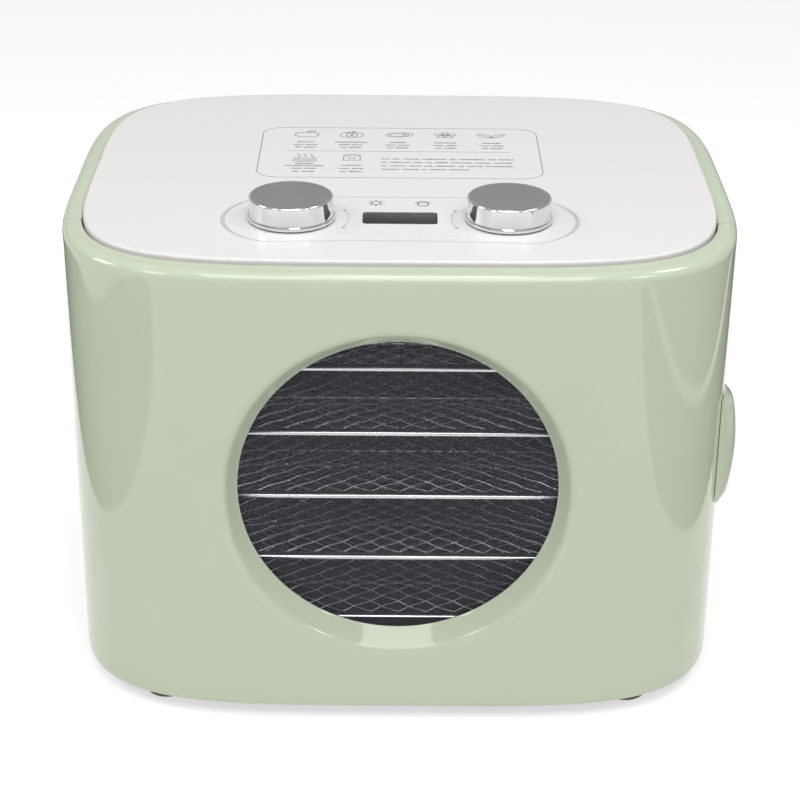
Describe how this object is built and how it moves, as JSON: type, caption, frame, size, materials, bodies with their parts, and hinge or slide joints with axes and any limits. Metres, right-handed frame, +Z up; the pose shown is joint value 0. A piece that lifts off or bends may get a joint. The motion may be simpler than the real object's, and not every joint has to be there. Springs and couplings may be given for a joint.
{
  "type": "food dehydrator",
  "caption": "Rounded countertop food dehydrator with a hinged round-window door, slide-in mesh trays, a rear fan heater and rotary knobs on top.",
  "frame": {"origin": "on the supporting surface, under the middle of the body's plan outline", "axes": "+Z up, the front with the door faces -Y, +X to the right when seen from the front"},
  "size_m": [0.3491, 0.289, 0.265],
  "materials": {
    "body_green": "glossy moulded plastic, mint green",
    "panel_white": "satin white moulded plastic",
    "base_plastic": "dark grey moulded plastic",
    "foot_rubber": "dark green rubber",
    "display_black": "black glossy plastic",
    "circuit_board": "green circuit board",
    "steel_part": "plain steel",
    "chamber_dark": "dark grey moulded liner",
    "tray_steel": "bright stainless wire and rim",
    "ceramic_white": "white ceramic",
    "magnet_dark": "black coated magnet",
    "window_glass": "clear tempered glass",
    "knob_chrome": "polished chrome with a satin top"
  },
  "bodies": {
    "housing": {"rear_housing": "body_green", "base_pan": "base_plastic", "foot_front_left": "foot_rubber", "foot_front_right": "foot_rubber", "foot_rear_left": "foot_rubber", "foot_rear_right": "foot_rubber", "top_panel": "panel_white", "control_tray": "base_plastic", "display_lens": "display_black", "display_module": "display_black", "control_board": "circuit_board", "temperature_encoder": "steel_part", "timer_encoder": "steel_part", "chamber_floor": "chamber_dark", "chamber_ceiling": "chamber_dark", "chamber_side_left": "chamber_dark", "chamber_side_right": "chamber_dark", "chamber_back": "chamber_dark", "fan_guard": "chamber_dark", "fan_shroud": "steel_part", "fan_motor": "steel_part", "heater_ring": "steel_part", "thermostat": "display_black", "thermal_fuse": "ceramic_white", "power_board": "circuit_board", "power_inlet": "display_black", "rear_cover": "body_green", "cover_screw_upper_left": "steel_part", "cover_screw_upper_right": "steel_part", "cover_screw_lower_left": "steel_part", "cover_screw_lower_right": "steel_part", "body_hinge_leaf": "steel_part", "hinge_pin": "steel_part", "strike_plate_upper": "steel_part", "strike_plate_lower": "steel_part"},
    "door": {"door_shell": "body_green", "window_glass": "window_glass", "door_inner_panel": "chamber_dark", "door_handle": "body_green", "door_hinge_leaf": "steel_part", "door_magnet_upper": "magnet_dark", "door_magnet_lower": "magnet_dark"},
    "fan": {"fan_impeller": "base_plastic"},
    "temperature_dial": {"temperature_knob": "knob_chrome"},
    "timer_dial": {"timer_knob": "knob_chrome"},
    "tray_1": {"tray_1_frame": "tray_steel", "tray_1_mesh": "tray_steel"},
    "tray_2": {"tray_2_frame": "tray_steel", "tray_2_mesh": "tray_steel"},
    "tray_3": {"tray_3_frame": "tray_steel", "tray_3_mesh": "tray_steel"},
    "tray_4": {"tray_4_frame": "tray_steel", "tray_4_mesh": "tray_steel"},
    "tray_5": {"tray_5_frame": "tray_steel", "tray_5_mesh": "tray_steel"}
  },
  "joints": [
    {"name": "door_hinge", "type": "hinge", "parent": "housing", "child": "door", "pos_m": [-0.1687, -0.0717, 0.139], "axis": [0, 0, -1], "range_deg": [0, 100]},
    {"name": "tray_1_slide", "type": "slide", "parent": "housing", "child": "tray_1", "axis": [0, -1, 0], "range_m": [0, 0.008]},
    {"name": "tray_2_slide", "type": "slide", "parent": "housing", "child": "tray_2", "axis": [0, -1, 0], "range_m": [0, 0.008]},
    {"name": "tray_3_slide", "type": "slide", "parent": "housing", "child": "tray_3", "axis": [0, -1, 0], "range_m": [0, 0.008]},
    {"name": "tray_4_slide", "type": "slide", "parent": "housing", "child": "tray_4", "axis": [0, -1, 0], "range_m": [0, 0.008]},
    {"name": "tray_5_slide", "type": "slide", "parent": "housing", "child": "tray_5", "axis": [0, -1, 0], "range_m": [0, 0.008]},
    {"name": "fan_spin", "type": "hinge", "parent": "housing", "child": "fan", "pos_m": [0, 0.105, 0.118], "axis": [0, -1, 0], "continuous": true},
    {"name": "temperature_dial_turn", "type": "hinge", "parent": "housing", "child": "temperature_dial", "pos_m": [-0.0546, -0.0745, 0.259], "axis": [0, 0, 1], "continuous": true},
    {"name": "timer_dial_turn", "type": "hinge", "parent": "housing", "child": "timer_dial", "pos_m": [0.0546, -0.0745, 0.259], "axis": [0, 0, 1], "continuous": true}
  ]
}
